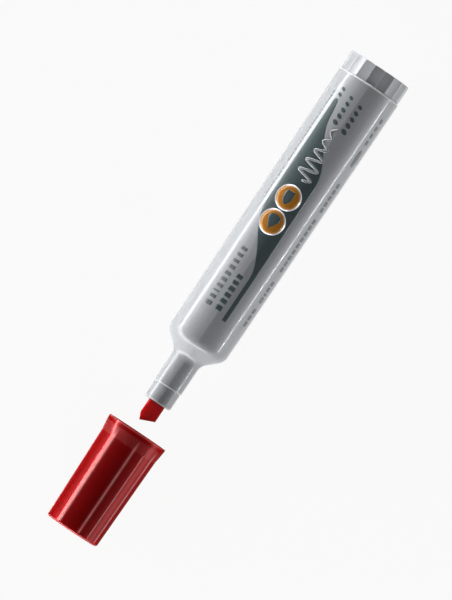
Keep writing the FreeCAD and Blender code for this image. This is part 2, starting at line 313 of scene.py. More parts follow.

# %% [markdown]
# ## The silver plastic
#
# The barrel, the nib holder and the end plug are moulded in plastic that is filled with tiny mirror
# flakes. It behaves mostly like a grey paint under a clear glossy skin, with a little metal in it.
#
# Their edges are straight rings and straight lands, so the painted highlight lines on them need no
# drawing: one function finds the rings by their distance along X, and one finds the plug's lands by the
# angle round it.

# %% Find the silver edges
PLUG_FLUTES = 18
FLUTE_TURN = math.radians(10.0)
LAND_KEEN = 0.975
LAND_FOOT = 0.96
LAND_CREST = 0.985


def ring_lines(tree, places, reach):
    """1 on each ring at the given X places, falling to 0 at the reach on both sides."""
    where = add(tree, "ShaderNodeSeparateXYZ")
    tree.links.new(object_place(tree), where.inputs["Vector"])
    line = None
    for place in places:
        offset = add(tree, "ShaderNodeMath", operation="SUBTRACT")
        offset.inputs[1].default_value = place
        tree.links.new(where.outputs["X"], offset.inputs[0])
        apart = add(tree, "ShaderNodeMath", operation="ABSOLUTE")
        tree.links.new(offset.outputs[0], apart.inputs[0])
        ring = add(tree, "ShaderNodeMapRange", interpolation_type="SMOOTHSTEP")
        ring.inputs["From Min"].default_value = reach
        ring.inputs["From Max"].default_value = reach * 0.3
        tree.links.new(apart.outputs[0], ring.inputs["Value"])
        if line is None:
            line = ring.outputs["Result"]
        else:
            both = add(tree, "ShaderNodeMath", operation="MAXIMUM")
            tree.links.new(line, both.inputs[0])
            tree.links.new(ring.outputs["Result"], both.inputs[1])
            line = both.outputs[0]
    return line


def land_lines(tree, count, first, keen, crest_radius):
    """1 on the lands between count flutes: the cosine of count x (angle - first), above keen.

    Below the foot share of the crest radius there are no lines, which keeps the end face plain.
    """
    where = add(tree, "ShaderNodeSeparateXYZ")
    tree.links.new(object_place(tree), where.inputs["Vector"])
    height = add(tree, "ShaderNodeMath", operation="SUBTRACT")
    height.inputs[1].default_value = axis_height
    tree.links.new(where.outputs["Z"], height.inputs[0])
    angle = add(tree, "ShaderNodeMath", operation="ARCTAN2")
    tree.links.new(where.outputs["Y"], angle.inputs[0])
    tree.links.new(height.outputs[0], angle.inputs[1])
    waves = add(tree, "ShaderNodeMath", operation="MULTIPLY_ADD")
    waves.inputs[1].default_value = count
    waves.inputs[2].default_value = -count * first
    tree.links.new(angle.outputs[0], waves.inputs[0])
    crest = add(tree, "ShaderNodeMath", operation="COSINE")
    tree.links.new(waves.outputs[0], crest.inputs[0])
    line = add(tree, "ShaderNodeMapRange")
    line.inputs["From Min"].default_value = keen
    tree.links.new(crest.outputs[0], line.inputs["Value"])
    spoke = add(tree, "ShaderNodeCombineXYZ")
    tree.links.new(where.outputs["Y"], spoke.inputs["X"])
    tree.links.new(height.outputs[0], spoke.inputs["Y"])
    distance = add(tree, "ShaderNodeVectorMath", operation="LENGTH")
    tree.links.new(spoke.outputs["Vector"], distance.inputs[0])
    outer = add(tree, "ShaderNodeMapRange")
    outer.inputs["From Min"].default_value = crest_radius * LAND_FOOT
    outer.inputs["From Max"].default_value = crest_radius * LAND_CREST
    tree.links.new(distance.outputs["Value"], outer.inputs["Value"])
    kept = add(tree, "ShaderNodeMath", operation="MULTIPLY")
    tree.links.new(line.outputs["Result"], kept.inputs[0])
    tree.links.new(outer.outputs["Result"], kept.inputs[1])
    return kept.outputs[0]


# %% [markdown]
# Flakes are small cells of a Voronoi noise, and each cell shifts the colour between two greys. The two
# silvers differ only in how the lines of their painted highlight are found, so the function that finds
# them is handed in, together with what it needs to know.

# %% Make the silver plastics
FLAKE_DARK = (0.50, 0.52, 0.545, 1.0)
FLAKE_LIGHT = (0.60, 0.62, 0.65, 1.0)
# The near-white colour of the painted highlight lines on the rims and the plug's lands.
PAINTED_HIGHLIGHT_SILVER = (0.95, 0.96, 0.97, 1.0)


def make_silver(name, find_lines, *places):
    """Silver plastic: flake colour, mixed towards a near-white painted highlight on the lines that are
    found.
    """
    material, tree, shader = new_material(
        name, Metallic=0.12, Coat_Weight=0.7, Coat_Roughness=0.02, IOR=1.3,
    )
    flakes = add(tree, "ShaderNodeTexVoronoi", Scale=9000.0)
    tree.links.new(object_place(tree), flakes.inputs["Vector"])
    tint = add(tree, "ShaderNodeMix", data_type="RGBA")
    tint.inputs["A"].default_value = FLAKE_DARK
    tint.inputs["B"].default_value = FLAKE_LIGHT
    shade = add(tree, "ShaderNodeSeparateColor")
    tree.links.new(flakes.outputs["Color"], shade.inputs["Color"])
    tree.links.new(shade.outputs["Red"], tint.inputs["Factor"])
    # Painted highlight: the found lines mix the flake colour towards near white.
    highlight_mask = place_group(tree, painted_edge_highlight, Breaks=0.3, Scale=500.0)
    tree.links.new(find_lines(tree, *places), highlight_mask.inputs["Line"])
    colour = add(tree, "ShaderNodeMix", data_type="RGBA")
    colour.inputs["B"].default_value = PAINTED_HIGHLIGHT_SILVER
    tree.links.new(highlight_mask.outputs["Mask"], colour.inputs["Factor"])
    tree.links.new(tint.outputs["Result"], colour.inputs["A"])
    worn = place_group(tree, handling, Base=0.42, Smudge=0.05, Scuff=0.08)
    rippled = place_group(tree, skin, Grain=420.0, Strength=0.03, Depth=0.000004)
    tree.links.new(colour.outputs["Result"], shader.inputs["Base Color"])
    tree.links.new(worn.outputs["Roughness"], shader.inputs["Roughness"])
    tree.links.new(rippled.outputs["Normal"], shader.inputs["Normal"])
    return material


# Painted highlight rings lie just inside both ends of the barrel and the front rim of the nib holder.
RIM_INSET = 0.12 * MM
RIM_REACH = 0.28 * MM
rims = [barrel_high.x - RIM_INSET, holder_high.x - 2.5 * RIM_INSET, barrel_low.x + 3 * RIM_INSET]
barrel_silver = make_silver("barrel_silver", ring_lines, rims, RIM_REACH)
# The plug's lands get painted highlight lines.
plug_low, plug_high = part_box("end_plug")
plug_radius = (plug_high.y - plug_low.y) / 2
plug_silver = make_silver("plug_silver", land_lines, PLUG_FLUTES, FLUTE_TURN, LAND_KEEN, plug_radius)
print("silver rims at", [round(rim * 1000, 2) for rim in rims], "mm")

# %% [markdown]
# ## The red cap
#
# The cap is a glossy, deep red plastic. Light goes a little way in, so it looks darker where the
# surroundings are dark and only turns pink where a bright wall is mirrored in a facet. A clear gloss
# over a saturated red gives both. Layer Weight thins that gloss on the facets that are seen at a slant.
# The ridges, seams, ramps, rounded end and rim take a paler red with less metal from the piece's own
# edge attribute: a painted highlight.

# %% Make the red plastics
GLOSS_FULL = 0.6
GLOSS_THIN = 0.05
SLANT_START = 0.26
SLANT_END = 0.46
METAL_DEPTH = 0.4


def make_red_plastic(name, deep, lit, pale, gloss):
    """Red plastic that drifts between a deep and a lit red, and turns pale along the lines of its edge
    attribute, a painted highlight.
    """
    material, tree, shader = new_material(
        name, Specular_IOR_Level=0.0, Coat_Roughness=0.02,
        Subsurface_Weight=0.7, Subsurface_Scale=0.006,
    )
    shader.inputs["Subsurface Radius"].default_value = (1.0, 0.08, 0.08)
    shader.inputs["Specular Tint"].default_value = (*lit, 1.0)
    drift = add(tree, "ShaderNodeTexNoise", Scale=90.0, Detail=2.0)
    tree.links.new(object_place(tree), drift.inputs["Vector"])
    tint = add(tree, "ShaderNodeMix", data_type="RGBA")
    tint.inputs["A"].default_value = (*deep, 1.0)
    tint.inputs["B"].default_value = (*lit, 1.0)
    tree.links.new(drift.outputs["Fac"], tint.inputs["Factor"])
    # Painted highlight: the edge attribute mixes the red towards the pale colour and takes the metal
    # away.
    ridges = add(tree, "ShaderNodeAttribute", attribute_name="edge")
    highlight_mask = place_group(tree, painted_edge_highlight, Breaks=0.15, Scale=260.0)
    tree.links.new(ridges.outputs["Fac"], highlight_mask.inputs["Line"])
    colour = add(tree, "ShaderNodeMix", data_type="RGBA")
    colour.inputs["B"].default_value = (*pale, 1.0)
    tree.links.new(highlight_mask.outputs["Mask"], colour.inputs["Factor"])
    tree.links.new(tint.outputs["Result"], colour.inputs["A"])
    depth = add(tree, "ShaderNodeMapRange")
    depth.inputs["To Min"].default_value = METAL_DEPTH
    depth.inputs["To Max"].default_value = 0.0
    tree.links.new(highlight_mask.outputs["Mask"], depth.inputs["Value"])
    slope = add(tree, "ShaderNodeLayerWeight", Blend=0.5)
    sheer = add(tree, "ShaderNodeMapRange")
    sheer.inputs["From Min"].default_value = SLANT_START
    sheer.inputs["From Max"].default_value = SLANT_END
    sheer.inputs["To Min"].default_value = GLOSS_FULL
    sheer.inputs["To Max"].default_value = GLOSS_THIN
    tree.links.new(slope.outputs["Facing"], sheer.inputs["Value"])
    worn = place_group(tree, handling, Base=gloss, Smudge=0.03, Scuff=0.10)
    tree.links.new(colour.outputs["Result"], shader.inputs["Base Color"])
    tree.links.new(depth.outputs["Result"], shader.inputs["Metallic"])
    tree.links.new(sheer.outputs["Result"], shader.inputs["Coat Weight"])
    tree.links.new(worn.outputs["Roughness"], shader.inputs["Roughness"])
    return material


# pale is the colour of the painted highlight on the edges.
cap_red = make_red_plastic(
    "cap_red", deep=(0.32, 0.003, 0.004), lit=(0.40, 0.005, 0.006), pale=(1.0, 0.34, 0.34), gloss=0.26,
)
liner_red = make_red_plastic(
    "liner_red", deep=(0.26, 0.004, 0.006), lit=(0.34, 0.008, 0.010), pale=(0.8, 0.2, 0.2), gloss=0.30,
)
print("reds:", cap_red.name, "and", liner_red.name)

# %% [markdown]
# ## The felt nib and the reservoir
#
# The nib is pressed from fibres that run along the marker, soaked in red ink. A noise stretched
# along X gives the fibres: it darkens the gaps between them and raises them a little. A second,
# coarser noise gives the blotches where the ink is wetter.

# %% Make the fibre finishes
def make_fibre(name, wet, dry, fibres, relief):
    """Ink-soaked fibre: fibres is how fine they are, relief is their height in metres."""
    material, tree, shader = new_material(
        name, Sheen_Weight=0.1, Sheen_Roughness=0.6, IOR=1.4,
        Subsurface_Weight=0.9, Subsurface_Scale=0.004,
    )
    shader.inputs["Subsurface Radius"].default_value = (1.0, 0.06, 0.06)
    strands = add(tree, "ShaderNodeTexNoise", Scale=fibres, Detail=3.0, Roughness=0.65)
    tree.links.new(object_place(tree, (0.05, 1.0, 1.0)), strands.inputs["Vector"])
    blotches = add(tree, "ShaderNodeTexNoise", Scale=fibres * 0.12, Detail=2.0)
    tree.links.new(object_place(tree), blotches.inputs["Vector"])
    blend = add(tree, "ShaderNodeMath", operation="MULTIPLY")
    tree.links.new(strands.outputs["Fac"], blend.inputs[0])
    tree.links.new(blotches.outputs["Fac"], blend.inputs[1])
    spread = add(tree, "ShaderNodeMapRange")
    spread.inputs["From Min"].default_value = 0.12
    spread.inputs["From Max"].default_value = 0.40
    tree.links.new(blend.outputs[0], spread.inputs["Value"])
    tint = add(tree, "ShaderNodeMix", data_type="RGBA")
    tint.inputs["A"].default_value = (*wet, 1.0)
    tint.inputs["B"].default_value = (*dry, 1.0)
    tree.links.new(spread.outputs["Result"], tint.inputs["Factor"])
    matt = add(tree, "ShaderNodeMapRange")
    matt.inputs["To Min"].default_value = 0.55
    matt.inputs["To Max"].default_value = 0.9
    tree.links.new(blotches.outputs["Fac"], matt.inputs["Value"])
    bump = add(tree, "ShaderNodeBump", Strength=0.6)
    bump.inputs["Distance"].default_value = relief
    tree.links.new(strands.outputs["Fac"], bump.inputs["Height"])
    tree.links.new(tint.outputs["Result"], shader.inputs["Base Color"])
    tree.links.new(matt.outputs["Result"], shader.inputs["Roughness"])
    tree.links.new(bump.outputs["Normal"], shader.inputs["Normal"])
    return material


nib_felt = make_fibre(
    "nib_felt", wet=(0.95, 0.008, 0.012), dry=(1.00, 0.018, 0.024), fibres=2600.0, relief=0.00006,
)
reservoir_fibre = make_fibre(
    "reservoir_fibre", wet=(0.30, 0.006, 0.01), dry=(0.5, 0.02, 0.03), fibres=1400.0, relief=0.00008,
)
print("fibres:", nib_felt.name, "and", reservoir_fibre.name)

# %% [markdown]
# The film round the reservoir is thin and milky. Nobody sees it in the closed marker, but a person
# who takes the model apart does. It is drawn as a pale plastic whose scuffs are a little whiter.

# %% Make the film
def make_film():
    """Milky film: the streaks of the handling group mix a warm white with a paler one."""
    material, tree, shader = new_material("wrap_film", IOR=1.45, Specular_IOR_Level=0.6)
    worn = place_group(tree, handling, Base=0.18, Smudge=0.10, Scuff=0.2)
    milky = add(tree, "ShaderNodeMix", data_type="RGBA")
    milky.inputs["A"].default_value = (0.80, 0.79, 0.77, 1.0)
    milky.inputs["B"].default_value = (0.88, 0.88, 0.86, 1.0)
    tree.links.new(worn.outputs["Streaks"], milky.inputs["Factor"])
    tree.links.new(milky.outputs["Result"], shader.inputs["Base Color"])
    tree.links.new(worn.outputs["Roughness"], shader.inputs["Roughness"])
    return material


wrap_film = make_film()
print("film:", wrap_film.name)

# %% [markdown]
# ## Dress the CAD parts
#
# A CAD node keeps its mesh. Only the material in its slot changes.

# %% Give each CAD node its finish
finishes = {
    "barrel": barrel_silver,
    "nib_holder": barrel_silver,
    "end_plug": plug_silver,
    "cap_shell": cap_red,
    "cap_liner": liner_red,
    "chisel_nib": nib_felt,
    "ink_reservoir": reservoir_fibre,
    "reservoir_wrap": wrap_film,
}
for node, finish in finishes.items():
    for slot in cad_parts[node].material_slots:
        slot.material = finish
print("dressed", len(finishes), "CAD nodes")

# %% [markdown]
# ## The cap
#
# The cap is the shiniest piece, so every small kink in its mesh would show in the highlights. It is
# made again here as one smooth surface. Its section is an octagon whose facets bulge a little and
# whose ridges are rounded. Seen from the axis, the distance to a facet arc and to a ridge arc both
# have a formula, so the whole section is one function of the angle.
#
# Sizes that can't be read from the CAD boxes repeat those of the CAD shell, so that both agree.

# %% Work out the faceted section
FACETS = 8
FACET_STEP = 2 * math.pi / FACETS
CAP_TURN = math.radians(12.7)
FACET_BOW = 11.5 * MM
RIDGE_ROUNDING = 1.2 * MM


def facet_radius(turn, facet):
    """Distance from the axis to the section, at an angle from the middle of a facet.

    A circle of radius a, whose centre lies at a distance c from the axis, is seen from the axis at
    c cos t + sqrt(a^2 - (c sin t)^2). The facet's circle serves up to where the two circles touch,
    and the ridge's circle serves from there to the ridge.
    """
    half = FACET_STEP / 2
    bow_centre = facet - FACET_BOW
    lean = bow_centre * math.cos(half)
    gap = FACET_BOW - RIDGE_ROUNDING
    ridge_centre = lean + np.sqrt(lean ** 2 - bow_centre ** 2 + gap ** 2)
    bow_half = np.arctan2(ridge_centre * math.sin(half), ridge_centre * math.cos(half) - bow_centre)
    touch = np.arctan2(FACET_BOW * np.sin(bow_half), bow_centre + FACET_BOW * np.cos(bow_half))
    on_facet = bow_centre * np.cos(turn) + np.sqrt(FACET_BOW ** 2 - (bow_centre * np.sin(turn)) ** 2)
    off_ridge = np.abs(turn) - half
    under = np.maximum(RIDGE_ROUNDING ** 2 - (ridge_centre * np.sin(off_ridge)) ** 2, 0.0)
    on_ridge = ridge_centre * np.cos(off_ridge) + np.sqrt(under)
    return np.where(np.abs(turn) < touch, on_facet, on_ridge)


def cap_turns():
    """Angles round the cap, from one facet's pattern: close together at a ridge and at a seam."""
    ridge = np.radians(np.linspace(-1.2, 1.2, 8))
    slope = np.radians(np.linspace(2.2, 20.5, 9))
    seam = np.radians(np.linspace(21.2, 23.8, 9))
    offsets = np.concatenate([ridge, slope, seam, FACET_STEP - slope[::-1]])
    return (CAP_TURN + np.arange(FACETS)[:, None] * FACET_STEP + offsets).ravel()


print("angles round the cap:", len(cap_turns()))

# %% [markdown]
# A cup is one closed skin. Its rings start at the middle of the closed end, run along the outside
# to the mouth, turn inwards and go down the bore to the floor. Two poles close it. Which way its
# faces look is settled by the volume that they enclose: a negative one means that all are turned.

# %% Write the skin helper
def enclosed_volume(points, *face_groups):
    """Sum over all faces of (face centre . face area vector) / 3; above 0 when faces look outwards.

    A quad's area vector is half the cross product of its diagonals. It must run over every face of
    the closed surface, because a part of the surface alone gives a sum that depends on the origin.
    """
    volume = 0.0
    for faces in face_groups:
        corners = points[faces]
        area = np.cross(corners[:, 2] - corners[:, 0], corners[:, -1] - corners[:, 1]) / 2
        volume += (corners.mean(axis=1) * area).sum() / 3
    return volume


def skin_piece(name, x, radius, turns, edge, finish, body):
    """Closed surface from rings; x and radius are rows x columns, edge is 1 on the crests that get the
    painted highlight.
    """
    rows, columns = radius.shape
    points = np.stack([x, radius * np.sin(turns), axis_height + radius * np.cos(turns)], axis=-1)
    poles = np.stack([points[0].mean(axis=0), points[-1].mean(axis=0)])
    points = np.concatenate([points.reshape(-1, 3), poles])
    index = np.arange(rows * columns).reshape(rows, columns)
    beside = np.roll(index, -1, axis=1)
    quads = np.stack([index[:-1], beside[:-1], beside[1:], index[1:]], axis=-1).reshape(-1, 4)
    first = np.stack([beside[0], index[0], np.full(columns, rows * columns)], axis=-1)
    last = np.stack([index[-1], beside[-1], np.full(columns, rows * columns + 1)], axis=-1)
    if enclosed_volume(points, quads, first, last) < 0:
        quads, first, last = quads[:, ::-1], first[:, ::-1], last[:, ::-1]
    mesh = bpy.data.meshes.new(name)
    mesh.from_pydata(points.tolist(), [], quads.tolist() + first.tolist() + last.tolist())
    mesh.polygons.foreach_set("use_smooth", np.ones(len(mesh.polygons), bool))
    mesh.set_sharp_from_angle(angle=math.radians(35))
    crests = mesh.attributes.new("edge", "FLOAT", "POINT")
    crests.data.foreach_set("value", np.append(edge.ravel(), [0.0, 0.0]))
    mesh.materials.append(finish)
    piece = bpy.data.objects.new(name, mesh)
    bpy.context.scene.collection.objects.link(piece)
    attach(piece, body)
    print(name, "has", len(mesh.polygons), "faces")
    return piece


# %% [markdown]
# Two kinds of line run along the cap, and both carry the painted highlight. A ridge line marks each of
# the eight ridges, and a seam line marks the mould's two parting seams, which stand proud by a few
# hundredths of a millimetre. Both are bell curves of the distance to the line, so they fade out softly.

# %% Lay out the cap
COLLAR_FLARE = 0.07 * MM
FACET_INSET = 0.41 * MM
FACET_DRAFT = 0.575 * MM
COLLAR_LENGTH = 1.35 * MM
RAMP_LENGTH = 2.95 * MM
END_ROUNDING = 0.6 * MM
END_DIMPLE = 0.12 * MM
RIM_ROUNDING = 0.15 * MM
RIDGE_LINE = 0.30 * MM
SEAM_LINE = 0.16 * MM
SEAM_HEIGHT = 0.03 * MM
cap_angles = cap_turns()
cap_mouth, cap_end = cap_low.x, cap_high.x
mouth_radius = (cap_high.y - cap_low.y) / 2
collar_radius = mouth_radius - COLLAR_FLARE
front_facet = collar_radius - FACET_INSET
end_facet = front_facet - FACET_DRAFT
collar_start = cap_mouth + COLLAR_LENGTH
ramp_start = collar_start + RAMP_LENGTH
from_middle = (cap_angles - CAP_TURN) % FACET_STEP - FACET_STEP / 2
off_ridge = FACET_STEP / 2 - np.abs(from_middle)
off_seam = np.abs((cap_angles - CAP_TURN - FACET_STEP / 2 + math.pi / 2) % math.pi - math.pi / 2)
ridge_line = np.exp(-((off_ridge * front_facet / RIDGE_LINE) ** 2))
seam_line = np.exp(-((off_seam * front_facet / SEAM_LINE) ** 2))
print("cap facets from", round(front_facet / MM, 2), "to", round(end_facet / MM, 2), "mm")


def rings(x, radius, edge=0.0):
    """Rows x columns x (x, radius, edge) from whatever mix of numbers, rows and columns is given."""
    grid = np.broadcast_arrays(x, radius, edge, np.empty((1, len(cap_angles))))
    return np.stack(grid[:3], axis=-1).reshape(-1, len(cap_angles), 3)


def facets_at(x):
    """Outer radius all round at each x: the facets draw in evenly from the ramps to the end."""
    share = np.clip((x - ramp_start) / (cap_end - ramp_start), 0.0, 1.0)
    facet = front_facet + share * (end_facet - front_facet)
    return facet_radius(from_middle, facet) + SEAM_HEIGHT * seam_line


# %% [markdown]
# The outside runs from the closed end to the mouth: a face with a faint dimple, a rounded end, the
# facets, the ramps that lift them to the round collar, and the rim. A quarter turn t gives both
# roundings: the sine carries the radius and the cosine carries x.

# %% Shape the outside
def column(*values):
    """Values as one column, so that each of them makes its own ring."""
    return np.array(values)[:, None]


quarter = np.linspace(0.0, math.pi / 2, 8)[:, None]
face = facets_at(cap_end) - END_ROUNDING
foot = facets_at(ramp_start)
end_turn = quarter[1:]
facet_x = np.linspace(cap_end - END_ROUNDING - 0.3 * MM, ramp_start + 0.05 * MM, 14)[:, None]
ramp_share = column(0.02, 0.2, 0.4, 0.6, 0.8, 0.98)
# The third value of each ring is its share of painted highlight: on the rounded end, along the ridges
# and seams, over the ramps and on the mouth's rim.
outside = [
    rings(cap_end - END_DIMPLE, column(0.05, 0.09) * face),
    rings(cap_end, column(0.10, 0.5, 1.0) * face),
    rings(
        cap_end - END_ROUNDING * (1 - np.cos(end_turn)),
        face + END_ROUNDING * np.sin(end_turn),
        0.55 * np.sin(2 * end_turn) ** 2,
    ),
    rings(facet_x, facets_at(facet_x), ridge_line + 0.9 * seam_line),
    rings(
        ramp_start + ramp_share * (collar_start - ramp_start),
        foot + ramp_share * (collar_radius - foot),
        0.10 + ridge_line * (1 - ramp_share),
    ),
    rings(collar_start - 0.05 * MM, collar_radius),
    rings(cap_mouth + 0.5 * MM, mouth_radius),
    rings(
        cap_mouth + RIM_ROUNDING * (1 - np.sin(quarter)),
        mouth_radius - RIM_ROUNDING * (1 - np.cos(quarter)),
        0.3,
    ),
]
print("rings outside:", sum(len(part) for part in outside))

# %% [markdown]
# The inside is turned, with plain steps: a wide mouth, the bore, and a seat at its floor that holds
# the liner. The whole cap is then one stack of rings, and it stands for the CAD shell.

# %% Shape the bore and make the cap
MOUTH_WALL = 1.27 * MM
CAP_WALL = 1.2 * MM
CAP_FLOOR = 1.3 * MM
MOUTH_DEPTH = 2.5 * MM
SEAT_DEPTH = 3.0 * MM
SEAT_STEP = 1.095 * MM
bore_end = end_facet - CAP_WALL
cap_floor = cap_end - CAP_FLOOR
seat_x = cap_floor - SEAT_DEPTH
seat_radius = bore_end - SEAT_STEP
bore = rings(
    column(cap_mouth, cap_mouth + MOUTH_DEPTH, ramp_start, seat_x, seat_x, cap_floor, cap_floor),
    column(
        mouth_radius - MOUTH_WALL, mouth_radius - MOUTH_WALL, front_facet - CAP_WALL,
        bore_end, seat_radius, seat_radius, seat_radius * 0.2,
    ),
)
stack = np.concatenate(outside + [bore])
cap_body = skin_piece(
    "cap_body", stack[..., 0], stack[..., 1], cap_angles, np.clip(stack[..., 2], 0.0, 1.0),
    cap_red, "cap",
)
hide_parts("cap_shell")

# %% [markdown]
# ## Printing on the barrel
#
# The label is printed straight on the plastic. Each printed shape is a very thin raised film of ink.
# We draw it flat, in millimetres along the barrel (station) and round it (around, from the top line
# towards +Y), and then wrap it: the distance round the barrel divided by the radius is an angle.
#
# Every shape is a grid of two parameters, so one function can turn any grid into a piece. A live
# Solidify modifier gives the film its thickness, downwards, and closes its edges.

# %% Write the wrapping helpers
INK_LIFT = 0.020 * MM
INK_THICKNESS = 0.015 * MM


def wrap(station, around, lift=INK_LIFT):
    """Points on the barrel: angle = around / radius, then out along the radius by the lift."""
    x = station_x(station)
    radius = np.interp(x, profile_x, profile_radius)
    angle = around * MM / radius
    out = radius + lift
    return np.stack([x, out * np.sin(angle), axis_height + out * np.cos(angle)], axis=-1)


def patch_faces(rows, columns, closed):
    """Quads of a grid of points, and the triangles that fill the middle of a closed grid."""
    index = np.arange(rows * columns).reshape(rows, columns)
    beside = np.roll(index, -1, axis=1)
    quads = np.stack([index[:-1], beside[:-1], beside[1:], index[1:]], axis=-1)
    if not closed:
        return [quads[:, :-1].reshape(-1, 4)]
    fan = np.stack([np.full(columns, rows * columns), beside[0], index[0]], axis=-1)
    return [quads.reshape(-1, 4), fan]


def looks_inwards(points, quads):
    """Whether the quads' area vectors, all together, point at the marker's axis."""
    corners = points[quads]
    area = np.cross(corners[:, 2] - corners[:, 0], corners[:, 3] - corners[:, 1])
    out = corners.mean(axis=1) * (0, 1, 1) - (0, 0, axis_height)
    return (area * out).sum() < 0


def print_piece(name, patches, ink, lift=INK_LIFT):
    """One printed piece from flat patches; a patch is two grids and whether it closes on itself."""
    points = []
    faces = []
    count = 0
    for station, around, closed in patches:
        wrapped = wrap(station, around, lift).reshape(-1, 3)
        if closed:
            middle_point = wrap(station[0].mean(keepdims=True), around[0].mean(keepdims=True), lift)
            wrapped = np.concatenate([wrapped, middle_point])
        groups = patch_faces(*station.shape, closed)
        turned = -1 if looks_inwards(wrapped, groups[0]) else 1
        for group in groups:
            faces += (group[:, ::turned] + count).tolist()
        points.append(wrapped)
        count += len(wrapped)
    mesh = bpy.data.meshes.new(name)
    mesh.from_pydata(np.concatenate(points).tolist(), [], faces)
    mesh.polygons.foreach_set("use_smooth", np.ones(len(mesh.polygons), bool))
    mesh.materials.append(ink)
    piece = bpy.data.objects.new(name, mesh)
    bpy.context.scene.collection.objects.link(piece)
    film = piece.modifiers.new("film", "SOLIDIFY")
    film.thickness = INK_THICKNESS
    film.offset = -1.0
    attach(piece, "marker_body")
    print(name, "has", len(patches), "patches and", len(mesh.polygons), "faces")
    return piece


# %% [markdown]
# Four kinds of patch are enough for the whole label. A **band** fills the space between two edge
# curves, a **disc** is a grid of radius and angle, a **bar** is a disc squared up by a superellipse,
# and a **stroke** is a ribbon that follows a line.

# %% Write the patch makers
BAND_TIP = 0.03


def band(stations, lower, upper, across=24):
    """Grid between two edges: around = lower + t x (upper - lower), with t from 0 to 1.

    Where the edges meet in a point, a sliver as wide as the tip stays, so that no face is empty.
    """
    share = np.linspace(0.0, 1.0, across)
    station = np.repeat(stations[:, None], across, axis=1)
    width = upper - lower
    way = 1.0 if width.sum() > 0 else -1.0
    width = way * np.maximum(way * width, BAND_TIP)
    around = lower[:, None] + share * width[:, None]
    return station, around, False


def bar(station, around, length, height, squareness=5.0, slant=0.0, rings=4, turns=48):
    """Superellipse |x/a|^n + |y/b|^n = 1, filled with shrinking copies; slant leans it along x."""
    angle = np.linspace(0.0, 2 * math.pi, turns, endpoint=False)
    power = 2.0 / squareness
    x = np.sign(np.cos(angle)) * np.abs(np.cos(angle)) ** power * length / 2
    y = np.sign(np.sin(angle)) * np.abs(np.sin(angle)) ** power * height / 2
    size = np.linspace(0.25, 1.0, rings)[:, None]
    return station + size * (x + slant * y), around + size * y, True


def disc(station, around, diameter, slant=0.0, height=None):
    """A round patch, or an ellipse if a height is given."""
    return bar(station, around, diameter, height or diameter, 2.0, slant)


def stroke(station, around, width, across=4):
    """Ribbon: each point of the line is pushed to both sides along the line's normal."""
    step_x = np.gradient(station)
    step_y = np.gradient(around)
    size = np.hypot(step_x, step_y)
    share = np.linspace(-0.5, 0.5, across)
    reach = (width * share) if np.isscalar(width) else width[:, None] * share
    return (
        station[:, None] - (step_y / size)[:, None] * reach,
        around[:, None] + (step_x / size)[:, None] * reach,
        False,
    )


# %% [markdown]
# ## The inks
#
# Printing ink is slightly less glossy than the plastic and has its own faint mottle, where the film
# is thinner. Five inks are used: slate, grey and pale grey for the words and shapes, and amber and
# silver for the badge.

# %% Make the inks
def make_ink(name, thin, thick, metallic=0.0, base=0.34):
    """Ink: a fine noise mixes a thin and a thick colour; metallic is for the silver ink."""
    material, tree, shader = new_material(
        name, Metallic=metallic, IOR=1.48, Coat_Weight=0.5, Coat_Roughness=0.08,
    )
    mottle = add(tree, "ShaderNodeTexNoise", Scale=1600.0, Detail=3.0, Roughness=0.7)
    tree.links.new(object_place(tree), mottle.inputs["Vector"])
    tint = add(tree, "ShaderNodeMix", data_type="RGBA")
    tint.inputs["A"].default_value = (*thin, 1.0)
    tint.inputs["B"].default_value = (*thick, 1.0)
    tree.links.new(mottle.outputs["Fac"], tint.inputs["Factor"])
    worn = place_group(tree, handling, Base=base, Smudge=0.06, Scuff=0.15)
    tree.links.new(tint.outputs["Result"], shader.inputs["Base Color"])
    tree.links.new(worn.outputs["Roughness"], shader.inputs["Roughness"])
    return material


slate_ink = make_ink("slate_ink", (0.125, 0.170, 0.180), (0.085, 0.120, 0.130), 0.1)
grey_ink = make_ink("grey_ink", (0.24, 0.26, 0.275), (0.17, 0.19, 0.20), 0.1)
pale_ink = make_ink("pale_ink", (0.46, 0.47, 0.48), (0.36, 0.37, 0.38), 0.1)
amber_ink = make_ink("amber_ink", (0.72, 0.30, 0.03), (0.60, 0.22, 0.02))
silver_ink = make_ink("silver_ink", (0.60, 0.62, 0.66), (0.70, 0.72, 0.75), metallic=0.7, base=0.28)
inks = [slate_ink, grey_ink, pale_ink, amber_ink, silver_ink]
print("inks:", [ink.name for ink in inks])

# %% [markdown]
# ## The slate panel
#
# A thin stripe starts near the shoulder, swells into a broad panel and leans back to a point near
# the rear end. Both edges are built from smooth steps, so the outline has no corners. The stations
# crowd towards the tail, where the outline turns fastest.

# %% Print the panel
def smooth_step(value, start, end):
    """0 before start, 1 after end, and the curve 3t^2 - 2t^3 between them."""
    share = np.clip((value - start) / (end - start), 0.0, 1.0)
    return share * share * (3 - 2 * share)


PANEL_START = 26.9
PANEL_END = 90.8
TAIL_ROUNDING = 1.1
CROWDING = 1.6
stations = PANEL_END - (PANEL_END - PANEL_START) * np.linspace(0.0, 1.0, 300)[::-1] ** CROWDING
stripe_top = 1.98
stripe_bottom = 3.13
panel_top = -6.05
panel_bottom = 3.27
waist_bottom = -3.9
tail_bottom = -4.9
upper_edge = stripe_top + (panel_top - stripe_top) * smooth_step(stations, 39.5, 59.0)
lower_edge = stripe_bottom + (panel_bottom - stripe_bottom) * smooth_step(stations, 30.0, 50.0)
lower_edge = lower_edge + (waist_bottom - panel_bottom) * smooth_step(stations, 68.5, 86.0)
lower_edge = lower_edge + (tail_bottom - waist_bottom) * smooth_step(stations, 84.0, 93.0)
short = np.clip((PANEL_END - stations) / TAIL_ROUNDING, 0.0, 1.0)
tail = np.sqrt(short * (2 - short))
centre_line = (upper_edge + lower_edge) / 2
upper_edge = centre_line + (upper_edge - centre_line) * tail
